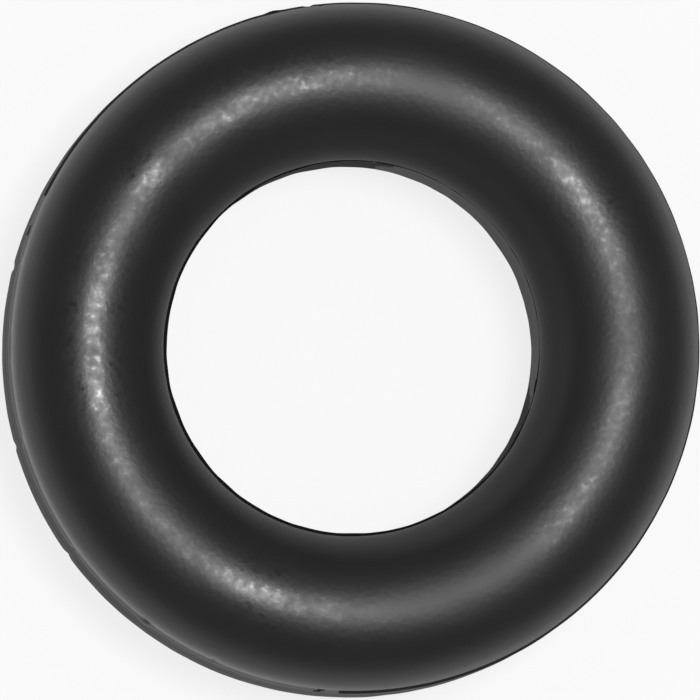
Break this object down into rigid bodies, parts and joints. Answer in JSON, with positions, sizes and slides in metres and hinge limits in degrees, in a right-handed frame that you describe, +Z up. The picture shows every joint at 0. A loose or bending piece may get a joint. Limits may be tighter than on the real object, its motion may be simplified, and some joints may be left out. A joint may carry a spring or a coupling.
{
  "type": "exhaust hanger rubber",
  "caption": "Thick black rubber ring that links a hook under a car to a hook on its exhaust pipe and lets the pipe move.",
  "frame": {"origin": "middle of the ring, at the height of the foot it lies on", "axes": "+Z up the ring's own axis, through its hole; X and Y are any two directions across it, since it is the same all round"},
  "size_m": [0.057, 0.057, 0.016],
  "materials": {
    "rubber": "matt black, finely mottled as moulded"
  },
  "bodies": {
    "root": {"rubber_ring": "rubber"}
  },
  "joints": []
}
